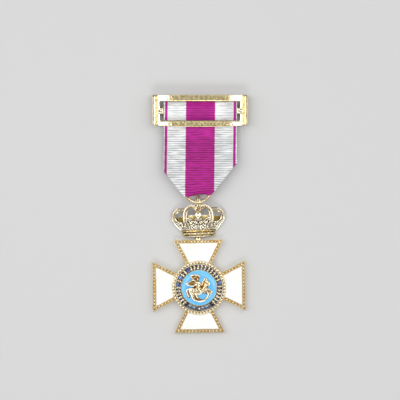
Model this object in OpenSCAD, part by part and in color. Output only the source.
// Order cross with a crown, hung by two rings from a folded ribbon on a brooch frame.
// It lies face up: +Y points to the brooch frame, +Z to the viewer, z = 0 is the surface below.
// Lengths are in millimetres, angles in degrees.

/* [Brooch frame] */
// Width of the brooch frame
frame_w = 38.9; // [37:0.1:41]
// Height of the brooch frame at its ends
frame_h = 12.4; // [12:0.1:13]
// Height of the brooch frame's centre above the origin
frame_y = 42.75; // [42:0.05:43.5]
// How far the lower rail bows down at its middle
frame_bow = 0.65; // [0:0.05:1]
// Height of the frame's face above the surface
frame_face_z = 5.2; // [5:0.1:6]
// Thickness of the frame's face
frame_t = 1.2; // [1:0.1:1.4]
// Width of the window
window_w = 33.1; // [32.5:0.1:33.5]
// Height of the window
window_h = 7.8; // [7.4:0.1:8]
// Width of the bevel round the window
window_bevel = 0.75; // [0.3:0.05:0.8]
// Width of the raised lip at each end of the frame
lip_w = 1.3; // [1:0.05:1.35]
// Height of the bar across the window
bar_h = 2.5; // [2:0.1:2.6]

/* [Brooch pin] */
// Diameter of the pin's wire
pin_d = 1.0; // [0.8:0.05:1.1]
// Width of the hinge block and the catch block
pin_block_w = 1.6; // [1.2:0.1:1.8]

/* [Ribbon] */
// Width of the ribbon
ribbon_w = 30; // [29:0.1:30.2]
// Thickness of one layer of the ribbon
ribbon_t = 1.0; // [1:0.05:1.1]
// Sideways place of the ribbon's middle
ribbon_x = 0.14; // [0:0.01:0.2]
// Width of the fold that passes through the hanger ring
fold_w = 8.1; // [6:0.1:8.2]

/* [Rings] */
// Outer radius of the hanger ring
hanger_r = 6.05; // [5.9:0.05:6.1]
// Diameter of the hanger ring's wire
hanger_wire = 1.05; // [0.9:0.05:1.1]
// Slope of the hanger ring from its lower to its upper side
hanger_tilt = 6.2; // [6:0.1:6.4]
// Mean radius of the jump ring
jump_r = 2.65; // [2.6:0.01:2.7]
// Diameter of the jump ring's wire
jump_wire = 0.74; // [0.68:0.02:0.78]
// Turn of the jump ring out of the upright plane
jump_turn = 17; // [12:1:18]

/* [Crown] */
// Turn of the crown to the left
crown_turn = 2.2; // [1.5:0.1:2.5]
// Half width of the circlet at its lower edge
circlet_low_r = 6.05; // [5.9:0.05:6.2]
// Half width of the circlet at its upper edge
circlet_top_r = 7.0; // [6.9:0.05:7.1]
// Height of the circlet
circlet_h = 2.75; // [2.6:0.05:2.8]
// Radius of the arches' bars
arch_r = 0.62; // [0.55:0.01:0.7]
// Radius of the pearls on the arches
pearl_r = 0.46; // [0.4:0.01:0.5]

/* [Cross] */
// Distance from the centre of the cross to the end of an arm
arm_r = 19.05; // [18.8:0.05:19.2]
// Half width that an arm would have at the centre
arm_w0 = 0.72; // [0.6:0.01:0.8]
// Growth of an arm's half width along its length
arm_k = 0.5; // [0.48:0.005:0.52]
// Width of the gilt rim of an arm
rim_w = 1.36; // [1.2:0.02:1.45]
// Turn of the cross to the left
cross_turn = 0.8; // [0:0.1:1.5]
// Distance between two ridges of the milled rims
ridge_pitch = 1.4; // [1.2:0.05:1.6]

/* [Medallion] */
// Outer radius of the rope ring
rope_r = 10.95; // [10.8:0.05:11.1]
// Width of the rope ring
rope_w = 1.4; // [1.3:0.05:1.45]
// Radius of the light blue centre
centre_r = 7.2; // [7.1:0.05:7.3]
// Angle between two leaf pairs on the navy band
leaf_pitch = 10; // [9:0.5:12]
// How far the medallion lies below the middle of the cross
medal_drop = 0.7; // [0:0.05:0.8]

/* [Hidden] */
$fn = 64;
gap = 0.05;
gold = [0.80, 0.68, 0.38];
crimson = [0.69, 0.18, 0.55];
enamel_white = [0.98, 0.98, 0.97];
enamel_navy = [0.08, 0.13, 0.27];
enamel_sky = [0.42, 0.75, 0.96];

// Brooch frame: the side walls turn back from the face, the bar lies lower behind the ribbon
wall_t = 1.2;
wall_back_z = 1.4;
groove_w = 0.55;
groove_t = 0.4;
frame_back_z = frame_face_z - frame_t;
window_y = frame_y - 0.35;
bar_y = window_y;
bar_z = frame_back_z - 1.45;
bar_t = 1.0;
bar_reach = 15.35;
tab_face_z = frame_face_z - 0.25;
bow_steps = 12;

// Ribbon: its middle line from the hanger ring to the frame, columns are y and z
fold_y = 10.1;
fold_r = 1.45;
fold_z = 3.45;
top_fold_y = 46.3;
top_fold_r = 0.8;
top_fold_z = 2.45;
turn_steps = 6;
front_run = [[fold_y, fold_z + fold_r], [13, 4.85], [18, 4.55], [24, 4.05], [33, 3.4], [38.1, 3.25],
    [39.4, 3.45], [40.4, 4.0], [41.2, 4.2], [43.5, 4.2], [44.3, 4.0], [45.3, 3.45],
    [top_fold_y, top_fold_z + top_fold_r]];
back_run = [[top_fold_y, top_fold_z - top_fold_r], [30, 1.5], [16, 1.3], [12, 1.5],
    [fold_y, fold_z - fold_r]];
// The folded lower corners, measured from the left edge and the right edge of the ribbon
left_fold_y = 17.8;
left_soft = [1.3, 15.5];
right_fold_y = 21.5;
right_soft = [1.5, 19.0];
left_tip = [-6.6, 7.75];
right_tip = [4.4, 7.85];
// The lower edge of the front layer from the left to the right, with a notch over the jump ring
front_hem = [left_tip, [-5.97, 7.1], [-2.4, 7.8], [-2.2, 8.25], [0.5, 8.4], [2.4, 8.5], [3.3, 7.85],
    right_tip, [6.3, 10.2], [-8.7, 10.2]];

// Rings
hanger_pos = [-1.03, 10.45, 3.2];
hanger_mean = hanger_r - hanger_wire / 2;
crown_pos = [-0.43, -9.26, 0];
boss_y = 11.46;
boss_r = 1.5;
boss_hole_r = 0.86;
boss_z = 2.1;
boss_t = 1.2;
jump_pos = [crown_pos[0] - boss_y * sin(crown_turn), crown_pos[1] + boss_y * cos(crown_turn) + jump_r, 3.1];

// Crown: arches are chains of points, columns are sideways, upwards and forwards
outer_arch = [[6.3, 2.3, 1.2], [7.5, 4.1, 1.2], [8.9, 5.8, 1.3], [9.85, 7.2, 1.35],
    [10.1, 8.6, 1.4], [9.65, 10.1, 1.6], [8.2, 11.0, 1.9], [6.6, 11.15, 2.6], [5.2, 11.0, 3.3]];
inner_arch = [[3.6, 1.93, 2.8], [4.6, 4.8, 3.7], [5.2, 7.0, 4.0], [5.35, 9.0, 3.9],
    [4.8, 11.1, 3.6], [3.35, 12.4, 3.2], [1.8, 12.2, 2.9], [0.6, 11.6, 2.8]];
centre_arch = [[0, 1.93, 3.4], [0, 4.8, 4.2], [0, 7.0, 4.4], [0, 9.0, 4.0], [0, 10.1, 3.2]];
circlet_depth = 0.5;
circlet_t = 0.7;
leaf_ring_h = 5.0;
leaf_ring_r = 8.9;
rise_h = 8.2;
rise_r = 9.15;
leaf_r = 0.85;
leaf_heart_y = 5.3;
leaf_tip_y = 8.2;
last_tip_y = 7.4;
leaf_spread = 15;
gem_angles = [-56, -28, 0, 28, 56];
fleuron_angles = [-66, -34, 0, 34, 66];
orb_y = 13.15;
orb_r = 0.85;
orb_z = 2.65;
finial_y = 14.95;
finial_high = 0.95;
finial_wide = 1.6;
finial_t = 0.7;
rear_bar_d = 0.7;
rear_bar_y = 0.41;
eye_z = 1.2;

// Cross
cross_pos = [-0.41, -29.55, 0];
plate_t = 1.6;
rim_z = 2.3;
fillet_w = 0.34;
fillet_z = 2.5;
enamel_z = 2.25;
eye_wire = 0.65;
eye_mean = 0.85;
eye_gap = 0.35;
eye_y = 20.6;

// Medallion: heights of its plate, enamels, fillet and rope
medal_plate_z = 2.3;
medal_enamel_z = 2.85;
fillet_r = 7.45;
medal_fillet_z = 3.05;
rope_z = 3.1;
ridge_z = 3.45;
rope_turns = 50;
leaf_t = 0.3;
leaf_l = 1.12;
leaf_w = 0.6;
leaf_turn = 60;
leaf_mid_r = 8.5;
stem_w = 0.28;
field_half = 0.75;
line_w = 0.2;
stud_r = 0.5;
relief_depth = 0.65;
// Runs of leaves on the band, columns are first and last angle counted from the right side
leaf_runs = [[17, 117], [126, 147], [155, 167], [174, 230], [-50, 8]];
// The two long fields below the centre, columns are first and last angle
fields = [[237, 265], [275, 303]];

function mid(a, b, t) = a + (b - a) * t;
function arm_half(r) = arm_w0 + arm_k * r;
function slant() = sqrt(1 + arm_k * arm_k);
function normal_at(p, i) =
    let(n = len(p), a = p[(i + n - 1) % n], b = p[(i + 1) % n], d = b - a, l = norm(d))
    [-d[1] / l, d[0] / l];
function turn(cy, cz, r, from, to) =
    [for (i = [1:turn_steps - 1]) let(a = mid(from, to, i / turn_steps))
        [cy + r * cos(a), cz + r * sin(a)]];

// A closed band of cloth round a loop of middle points, seen from the side
module band_section(run, t) {
    n = len(run);
    outer = [for (i = [0:n - 1]) run[i] - normal_at(run, i) * t / 2];
    inner = [for (i = [0:n - 1]) run[i] + normal_at(run, i) * t / 2];
    polygon(concat(outer, inner), paths = [[for (i = [0:n - 1]) i], [for (i = [0:n - 1]) n + i]]);
}

// An outline in y and z, drawn out along x on both sides of the middle
module along_x(width) {
    rotate([90, 0, 90]) translate([0, 0, -width / 2]) linear_extrude(width) children();
}

module frame_outline() {
    polygon(concat([[-frame_w / 2, frame_h / 2], [-frame_w / 2, -frame_h / 2]],
        [for (i = [1:bow_steps - 1]) let(x = mid(-frame_w / 2, frame_w / 2, i / bow_steps))
            [x, -frame_h / 2 - frame_bow * (1 - pow(2 * x / frame_w, 2))]],
        [[frame_w / 2, -frame_h / 2], [frame_w / 2, frame_h / 2]]));
}

// Half of the frame seen from its end: the face with lip and groove, and the wall turned back
module frame_section() {
    e = frame_w / 2;
    z = frame_face_z;
    polygon([[0, frame_back_z], [e - wall_t, frame_back_z], [e - wall_t, wall_back_z],
        [e - 0.2, wall_back_z], [e, wall_back_z + 0.2], [e, z - 0.35], [e - 0.3, z],
        [e - lip_w + 0.15, z], [e - lip_w - 0.05, z - groove_t], [e - lip_w - groove_w, z - groove_t],
        [e - lip_w - groove_w - 0.1, z - 0.1], [0, z - 0.1]]);
}

// The window's hole, wider at the face by its bevel
module window_hole() {
    low = frame_back_z - 1;
    flat_z = frame_back_z + 0.35;
    intersection() {
        along_x(frame_w) flare_section(window_h, low, flat_z);
        rotate([0, 0, 90]) along_x(frame_w) flare_section(window_w, low, flat_z);
    }
}

module flare_section(width, low, flat_z) {
    w = width / 2;
    over = 0.3;
    b = window_bevel * (1 + over / (frame_face_z - flat_z));
    polygon([[-w, low], [w, low], [w, flat_z], [w + b, frame_face_z + over],
        [-w - b, frame_face_z + over], [-w, flat_z]]);
}

module brooch_frame() color(gold) {
    translate([0, frame_y, 0]) difference() {
        intersection() {
            rotate([90, 0, 0]) translate([0, 0, -frame_h]) linear_extrude(2 * frame_h) {
                frame_section();
                mirror([1, 0]) frame_section();
            }
            linear_extrude(frame_face_z + 1) frame_outline();
        }
        translate([0, window_y - frame_y, 0]) window_hole();
        translate([-frame_w / 2 - 1, frame_h / 2, frame_face_z - 0.3]) rotate([45, 0, 0])
            cube([frame_w + 2, 1, 1]);
    }
    translate([-bar_reach - 0.4, bar_y - bar_h / 2, bar_z]) cube([2 * bar_reach + 0.8, bar_h, bar_t]);
    for (side = [-1, 1]) translate([0, bar_y, bar_z]) linear_extrude(tab_face_z - bar_z)
        polygon([[side * bar_reach, -bar_h / 2], [side * (window_w / 2 - 0.5), -bar_h / 2],
            [side * (window_w / 2 + 0.7), -bar_h / 2 - 0.6], [side * (window_w / 2 + 0.7), bar_h / 2 + 0.6],
            [side * (window_w / 2 - 0.5), bar_h / 2], [side * bar_reach, bar_h / 2]]);
}

module brooch_pin() color(gold) {
    block_x = frame_w / 2 - pin_block_w / 2 - 0.15;
    translate([-block_x, frame_y, pin_d / 2]) rotate([0, 90, 0]) cylinder(d = pin_d, h = 2 * block_x);
    for (side = [-1, 1]) translate([side * block_x - pin_block_w / 2, frame_y - 1.5, 0])
        cube([pin_block_w, 3, wall_back_z]);
}

// The ribbon's front, with its lower corners folded away
module ribbon_outline(tip_left, tip_right, low_y) {
    l = ribbon_x - ribbon_w / 2;
    r = ribbon_x + ribbon_w / 2;
    polygon([[l, frame_y + frame_h / 2], [l, left_fold_y], [l + left_soft[0], left_soft[1]],
        tip_left, [tip_left[0] + 0.6, low_y], [tip_right[0] - 0.4, low_y], tip_right,
        [r - right_soft[0], right_soft[1]], [r, right_fold_y], [r, frame_y + frame_h / 2]]);
}

// The same outline, gathered to the width of the fold where the ring runs round it
module gathered_outline() {
    c = hanger_pos[0];
    ribbon_outline([c - fold_w / 2, fold_y + 1.2], [c + fold_w / 2, fold_y + 1.2], fold_y + 1);
    translate([c - fold_w / 2, fold_y - 3]) square([fold_w, 5]);
}

// The corner that is turned back behind the front layer, on the left side or the right side
module corner_flaps() {
    polygon([[ribbon_x - ribbon_w / 2 + 0.3, left_fold_y - 0.4], [left_tip[0], left_tip[1] + 0.9],
        [-5.3, 15.8]]);
    polygon([[ribbon_x + ribbon_w / 2 - 0.3, right_fold_y - 0.4], [right_tip[0], right_tip[1] + 0.9],
        [1.8, 19.4]]);
}

module ribbon() color(crimson) {
    bottom = turn(fold_y, fold_z, fold_r, 270, 90);
    top = turn(top_fold_y, top_fold_z, top_fold_r, 90, -90);
    loop = concat(front_run, top, back_run, bottom);
    split_z = fold_z + 0.9;
    clear = hanger_r + 0.3;
    intersection() {
        translate([ribbon_x, 0, 0]) along_x(ribbon_w + 2) band_section(loop, ribbon_t);
        union() {
            translate([0, 0, split_z]) linear_extrude(3) ribbon_outline(left_tip, right_tip, 7.4);
            linear_extrude(split_z + 0.01) gathered_outline();
        }
    }
    translate([0, 0, fold_z + fold_r - ribbon_t / 2]) linear_extrude(ribbon_t) polygon(front_hem);
    difference() {
        intersection() {
            translate([ribbon_x, 0, 0]) along_x(ribbon_w) polygon(concat(
                [for (p = front_run) [p[0], p[1]]], [for (i = [len(front_run) - 1:-1:0])
                    [front_run[i][0], front_run[i][1] - 1.5 * ribbon_t]]));
            linear_extrude(6) corner_flaps();
        }
        translate([hanger_pos[0], hanger_pos[1], 0]) cylinder(r = clear, h = 4.2);
    }
}

module hanger_ring() color(gold)
    translate(hanger_pos) rotate([-hanger_tilt, 0, 0]) rotate_extrude() translate([hanger_mean, 0])
        circle(d = hanger_wire, $fn = 32);

module jump_ring() color(gold)
    translate(jump_pos) rotate([0, 90 + jump_turn, 0]) rotate_extrude() translate([jump_r, 0])
        circle(d = jump_wire, $fn = 32);

// A bar along a chain of points, as a chain of rounded links
module chain(points, r, side = 1) {
    for (i = [0:len(points) - 2]) hull() {
        for (p = [points[i], points[i + 1]]) translate([side * p[0], p[1], p[2]]) sphere(r, $fn = 8);
    }
}

// Pearls on the front of an arch, two for each link of its chain
module pearls(points, side = 1) {
    for (i = [1:len(points) - 2], t = [0, 0.5]) {
        p = mid(points[i], points[i + 1], t);
        translate([side * p[0], p[1], p[2] + arch_r * 0.75]) sphere(pearl_r, $fn = 6);
    }
}

// The half ring of the circlet and of the leaves above it, deeper at its middle
module half_ring(profile) {
    scale([1, 1, circlet_depth]) rotate([90, 0, 0]) mirror([0, 0, 1])
        rotate_extrude(angle = 180, $fn = 48) polygon(profile);
}

function ring_point(r, a, y) = [r * sin(a), y, circlet_depth * r * cos(a)];

// A leaf on the circlet with a heart, a tip and two side lobes, turned to the given angle
module fleuron(a) {
    foot = ring_point(circlet_top_r, a, circlet_h);
    heart = ring_point(leaf_ring_r - 0.1, a, leaf_heart_y);
    tip_y = mid(leaf_tip_y, last_tip_y, abs(a) / max(fleuron_angles));
    hull() {
        translate(foot) sphere(0.5, $fn = 7);
        translate(heart) sphere(leaf_r, $fn = 8);
    }
    hull() {
        translate(heart) sphere(leaf_r * 0.8, $fn = 8);
        translate(ring_point(leaf_ring_r + 0.4, a, tip_y)) sphere(leaf_r * 0.55, $fn = 7);
    }
    for (s = [-1, 1]) hull() {
        translate(heart) sphere(leaf_r * 0.6, $fn = 7);
        translate(ring_point(leaf_ring_r + 0.1, a + s * leaf_spread, leaf_heart_y + 0.5))
            sphere(leaf_r * 0.55, $fn = 7);
    }
}

module crown_shell() {
    half_ring([[circlet_low_r - circlet_t, 0], [circlet_low_r, 0], [circlet_low_r + 0.15, 0.5],
        [circlet_low_r - 0.05, 0.6], [circlet_top_r - 0.4, 2.1], [circlet_top_r + 0.05, 2.2],
        [circlet_top_r + 0.1, circlet_h], [leaf_ring_r, leaf_ring_h], [rise_r, rise_h],
        [rise_r - circlet_t, rise_h], [leaf_ring_r - circlet_t, leaf_ring_h],
        [circlet_top_r - circlet_t, circlet_h - 0.2]]);
    for (a = gem_angles) translate(ring_point(circlet_top_r - 0.35, a, 1.4)) rotate([0, a, 0])
        scale([1.2, 1, 0.9]) sphere(0.55, $fn = 8);
    for (a = fleuron_angles) fleuron(a);
    chain(centre_arch, arch_r * 1.5);
    pearls(centre_arch);
    for (side = [-1, 1]) {
        chain(outer_arch, arch_r, side);
        pearls(outer_arch, side);
        chain(inner_arch, arch_r, side);
        pearls(inner_arch, side);
    }
}

// Orb and small cross on the crown's top
module finial() {
    translate([0, orb_y, orb_z]) sphere(orb_r, $fn = 16);
    translate([0, orb_y, orb_z]) rotate([-90, 0, 0]) cylinder(r = 0.32, h = finial_y - orb_y, $fn = 10);
    translate([0, finial_y, orb_z - finial_t / 2]) linear_extrude(finial_t) for (a = [0:90:270]) {
        reach = a % 180 == 0 ? finial_high : finial_wide;
        rotate(a) polygon([[-0.2, 0], [-0.5, reach], [0.5, reach], [0.2, 0]]);
    }
}

module crown() color(gold)
    translate(crown_pos) rotate([0, 0, crown_turn]) {
        difference() {
            union() {
                crown_shell();
                finial();
                translate([0, boss_y, boss_z]) cylinder(r = boss_r, h = boss_t, $fn = 24);
            }
            translate([0, boss_y, 0]) cylinder(r = boss_hole_r, h = 9, $fn = 16);
        }
        translate([-circlet_low_r + 0.4, rear_bar_y, eye_z]) rotate([0, 90, 0])
            cylinder(d = rear_bar_d, h = 2 * circlet_low_r - 0.8, $fn = 12);
    }

// One arm, pointing up, moved in from its edges by the given distance
module arm(inset) {
    r = arm_r - inset;
    w = arm_half(r) - inset * slant();
    start = max(0, inset * slant() - arm_w0) / arm_k;
    polygon([[-max(0.01, arm_half(start) - inset * slant()), start], [-w, r], [w, r],
        [max(0.01, arm_half(start) - inset * slant()), start]]);
}

module each_arm() {
    for (a = [0:90:270]) rotate(a) children();
}

// Slanted ridges along one rim of an arm, from one end to the other of its middle line
module ridges(from, to) {
    length = norm(to - from);
    count = floor(length / ridge_pitch);
    across = rim_w - 2 * fillet_w + 0.1;
    along = to - from;
    translate(from) rotate(atan2(along[1], along[0])) for (i = [0:count - 1])
        translate([(i + 0.5) * length / count, 0])
            polygon([[-0.42, -across / 2], [0.12, -across / 2], [0.42, across / 2], [-0.12, across / 2]]);
}

module arm_ridges() {
    m = rim_w / 2;
    r = arm_r - m;
    w = arm_half(r) - m * slant();
    low = rope_r * 0.8;
    wl = arm_half(low) - m * slant();
    ridges([-w, r], [w, r]);
    ridges([wl, low], [w, r]);
    ridges([-w, r], [-wl, low]);
}

module cross() color(gold)
    translate(cross_pos) rotate([0, 0, cross_turn]) {
        linear_extrude(plate_t) {
            each_arm() arm(0);
            translate([0, -medal_drop]) circle(rope_r - 0.3);
        }
        difference() {
            union() {
                linear_extrude(rim_z) arm_rims(0, rim_w);
                linear_extrude(fillet_z) {
                    arm_rims(0, fillet_w);
                    arm_rims(rim_w - fillet_w, rim_w);
                    each_arm() arm_ridges();
                }
            }
            translate([0, -medal_drop, plate_t]) cylinder(r = rope_r + gap, h = fillet_z);
        }
        link_eyes();
    }

// The part of every arm that lies between two distances from its edges
module arm_rims(from, to) {
    each_arm() difference() {
        arm(from);
        arm(to);
    }
}

// The twin eyes soldered to the top edge, with the foot that carries them
module link_eyes() {
    for (side = [-1, 1]) translate([side * (eye_gap + eye_wire) / 2, eye_y, eye_z]) rotate([0, 90, 0])
        rotate_extrude() translate([eye_mean, 0]) circle(d = eye_wire, $fn = 24);
    foot_h = eye_y - eye_mean - arm_r + 0.6;
    translate([-eye_gap / 2 - eye_wire, arm_r - 0.6, eye_z - 0.5])
        cube([eye_gap + 2 * eye_wire, foot_h, 1]);
}

// White enamel of one arm, the top one turned by the given angle
module enamel_field(a) color(enamel_white)
    translate(cross_pos) rotate([0, 0, cross_turn]) translate([0, 0, plate_t])
        linear_extrude(enamel_z - plate_t) difference() {
            rotate(a) arm(rim_w + gap);
            translate([0, -medal_drop]) circle(rope_r + gap);
        }

module enamel_top() enamel_field(0);
module enamel_left() enamel_field(90);
module enamel_right() enamel_field(-90);
module enamel_bottom() enamel_field(180);

module medal_place(z = 0) {
    translate([cross_pos[0], cross_pos[1], z]) rotate([0, 0, cross_turn])
        translate([0, -medal_drop, 0]) children();
}

// Slanted ridges all round the rope ring
module rope_ridges() {
    reach = rope_w / 2 - 0.12;
    for (i = [0:rope_turns - 1]) rotate(360 * i / rope_turns) translate([rope_r - rope_w / 2, 0])
        polygon([[-reach, -0.42], [-reach, 0.08], [reach, 0.42], [reach, -0.08]]);
}

module medallion_ring() color(gold) medal_place(plate_t) {
    cylinder(r = rope_r - rope_w / 2, h = medal_plate_z - plate_t);
    difference() {
        cylinder(r = rope_r, h = rope_z - plate_t);
        translate([0, 0, medal_plate_z - plate_t]) cylinder(r = rope_r - rope_w, h = 5);
    }
    linear_extrude(ridge_z - plate_t) rope_ridges();
    difference() {
        cylinder(r = fillet_r, h = medal_fillet_z - plate_t);
        translate([0, 0, medal_plate_z - plate_t]) cylinder(r = centre_r, h = 5);
    }
}

module band_enamel() color(enamel_navy) medal_place(medal_plate_z) difference() {
    cylinder(r = rope_r - rope_w - gap, h = medal_enamel_z - medal_plate_z);
    translate([0, 0, -1]) cylinder(r = fillet_r + gap, h = 3);
}

module centre_enamel() color(enamel_sky) medal_place(medal_plate_z)
    cylinder(r = centre_r - gap, h = medal_enamel_z - medal_plate_z);

// A piece of a flat ring between two angles
module arc_strip(r_in, r_out, from, to) {
    steps = max(2, ceil((to - from) / 6));
    polygon(concat([for (i = [0:steps]) let(a = mid(from, to, i / steps)) r_out * [cos(a), sin(a)]],
        [for (i = [steps:-1:0]) let(a = mid(from, to, i / steps)) r_in * [cos(a), sin(a)]]));
}

module leaf() {
    linear_extrude(leaf_t)
        polygon([[0, 0], [leaf_l * 0.4, leaf_w / 2], [leaf_l, 0], [leaf_l * 0.4, -leaf_w / 2]]);
}

module leaf_run(from, to) {
    count = max(1, round((to - from) / leaf_pitch));
    linear_extrude(leaf_t) arc_strip(leaf_mid_r - stem_w / 2, leaf_mid_r + stem_w / 2, from, to);
    for (i = [0:count - 1]) rotate(mid(from, to, (i + 0.3) / count)) translate([leaf_mid_r, 0])
        for (s = [-1, 1]) rotate(90 - s * leaf_turn) leaf();
}

// A long field framed by a thin gilt line
module field_frame(from, to) {
    linear_extrude(leaf_t) difference() {
        arc_strip(leaf_mid_r - field_half, leaf_mid_r + field_half, from, to);
        arc_strip(leaf_mid_r - field_half + line_w, leaf_mid_r + field_half - line_w,
            from + 1.5, to - 1.5);
    }
}

module band_ornament() color(gold) medal_place(medal_enamel_z) {
    for (run = leaf_runs) leaf_run(run[0], run[1]);
    for (f = fields) field_frame(f[0], f[1]);
    rotate(270) translate([leaf_mid_r, 0]) cylinder(r = stud_r, h = leaf_t, $fn = 12);
}

// A limb of the relief: a rounded link between two points of given radius, flattened at its back
module limb(a, ra, b, rb) {
    hull() {
        translate([a[0], a[1], ra * 0.4]) sphere(ra, $fn = 10);
        translate([b[0], b[1], rb * 0.4]) sphere(rb, $fn = 10);
    }
}

module horse() {
    limb([-2.1, -1.2], 1.15, [1.3, -1.3], 0.95);
    limb([1.3, -1.2], 0.95, [2.2, 0.3], 0.8);
    limb([2.2, 0.3], 0.75, [2.7, 2.4], 0.6);
    limb([2.7, 2.6], 0.6, [4.1, 1.7], 0.36);
    limb([2.5, 2.9], 0.22, [2.55, 3.8], 0.14);
    limb([1.9, -1.2], 0.6, [4.0, -0.9], 0.38);
    limb([4.0, -0.9], 0.34, [5.0, -1.9], 0.28);
    limb([1.8, -1.7], 0.5, [3.3, -2.7], 0.34);
    limb([3.3, -2.7], 0.3, [2.6, -3.6], 0.24);
    limb([-2.4, -1.9], 0.9, [-2.2, -3.5], 0.5);
    limb([-2.2, -3.5], 0.42, [-1.2, -4.7], 0.32);
    limb([-1.4, -1.9], 0.7, [-0.4, -3.7], 0.4);
    limb([-0.4, -3.7], 0.34, [-0.2, -4.9], 0.28);
    limb([-2.9, -0.6], 0.5, [-4.5, -0.9], 0.42);
    limb([-4.5, -0.9], 0.42, [-4.7, -2.4], 0.36);
    limb([-4.7, -2.4], 0.36, [-4.0, -3.8], 0.2);
}

module rider() {
    limb([-0.3, -0.2], 0.8, [-0.4, 2.1], 0.85);
    limb([-0.4, 2.6], 0.4, [-0.5, 3.6], 0.58);
    limb([-0.3, 4.1], 0.5, [-1.5, 4.6], 0.34);
    limb([-1.5, 4.6], 0.34, [-2.6, 4.4], 0.22);
    limb([0.2, 2.3], 0.42, [1.5, 1.4], 0.3);
    limb([-0.9, 2.4], 0.42, [-2.3, 3.2], 0.32);
    limb([-2.3, 3.2], 0.3, [-3.1, 4.1], 0.26);
    limb([-1.0, 1.9], 0.6, [-3.2, 1.2], 0.5);
    limb([-3.2, 1.2], 0.5, [-4.9, 1.3], 0.26);
    limb([-2.0, 0.9], 0.45, [-3.4, 0.5], 0.3);
    limb([0.2, -0.4], 0.5, [0.5, -2.4], 0.36);
    limb([0.5, -2.4], 0.32, [1.2, -2.7], 0.24);
}

module horseman() color(gold) medal_place(medal_enamel_z) scale([1, 1, relief_depth]) intersection() {
    union() {
        horse();
        rider();
        limb([-2.4, -4.7], 0.3, [0.0, -5.5], 0.34);
        limb([0.0, -5.5], 0.34, [2.4, -4.8], 0.3);
        limb([2.4, -4.8], 0.3, [3.9, -3.4], 0.2);
    }
    cylinder(r = centre_r - 0.3, h = 3, $fn = 40);
}

brooch_frame();
brooch_pin();
ribbon();
hanger_ring();
jump_ring();
crown();
cross();
enamel_top();
enamel_left();
enamel_right();
enamel_bottom();
medallion_ring();
band_enamel();
band_ornament();
centre_enamel();
horseman();
